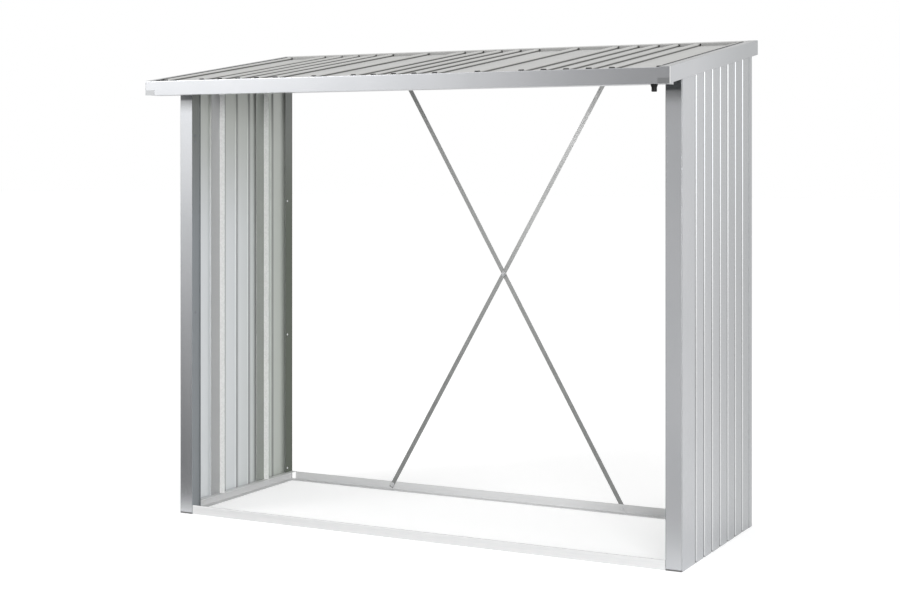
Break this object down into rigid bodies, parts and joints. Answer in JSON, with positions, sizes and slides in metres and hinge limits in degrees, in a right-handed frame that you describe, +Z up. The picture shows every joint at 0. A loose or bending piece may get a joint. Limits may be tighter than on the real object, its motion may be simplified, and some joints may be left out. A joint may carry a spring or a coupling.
{
  "type": "log store",
  "caption": "Open-fronted metal log store: two grooved sheet walls, a ribbed roof falling forward to a gutter, and crossed braces in the open back.",
  "frame": {"origin": "on the ground, under the middle of the roof's plan", "axes": "+Z up, +X along the front from left to right, +Y from the open front to the open back"},
  "size_m": [2.29, 1.066, 1.99],
  "materials": {
    "silver_coated_steel": "satin silver-metallic coating",
    "roof_coated_steel": "matt silver-metallic coating",
    "galvanised_steel": "galvanised, dull",
    "aluminium": "mill finish, satin",
    "black_plastic": "matt black moulding",
    "zinc_bolts": "bright zinc plate"
  },
  "bodies": {
    "root": {"base_rail_front": "aluminium", "base_rail_left": "aluminium", "base_rail_rear": "aluminium", "base_rail_right": "aluminium", "brace_bar_front": "galvanised_steel", "brace_bar_rear": "galvanised_steel", "brace_bolts": "zinc_bolts", "fascia": "silver_coated_steel", "front_beam": "galvanised_steel", "front_post_left": "silver_coated_steel", "front_post_right": "silver_coated_steel", "gutter": "silver_coated_steel", "gutter_end_left": "silver_coated_steel", "gutter_end_right": "silver_coated_steel", "gutter_outlet": "black_plastic", "left_wall_sheet_front": "silver_coated_steel", "left_wall_sheet_middle": "silver_coated_steel", "left_wall_sheet_rear": "silver_coated_steel", "left_wall_upright_front": "galvanised_steel", "left_wall_upright_rear": "galvanised_steel", "rear_beam": "galvanised_steel", "rear_post_left": "silver_coated_steel", "rear_post_right": "silver_coated_steel", "rear_trim": "silver_coated_steel", "right_wall_sheet_front": "silver_coated_steel", "right_wall_sheet_middle": "silver_coated_steel", "right_wall_sheet_rear": "silver_coated_steel", "right_wall_upright_front": "galvanised_steel", "right_wall_upright_rear": "galvanised_steel", "roof_purlin": "galvanised_steel", "roof_sheet_left": "roof_coated_steel", "roof_sheet_middle": "roof_coated_steel", "roof_sheet_right": "roof_coated_steel", "top_rail_left": "galvanised_steel", "top_rail_right": "galvanised_steel", "verge_trim_left": "silver_coated_steel", "verge_trim_right": "silver_coated_steel"}
  },
  "joints": []
}
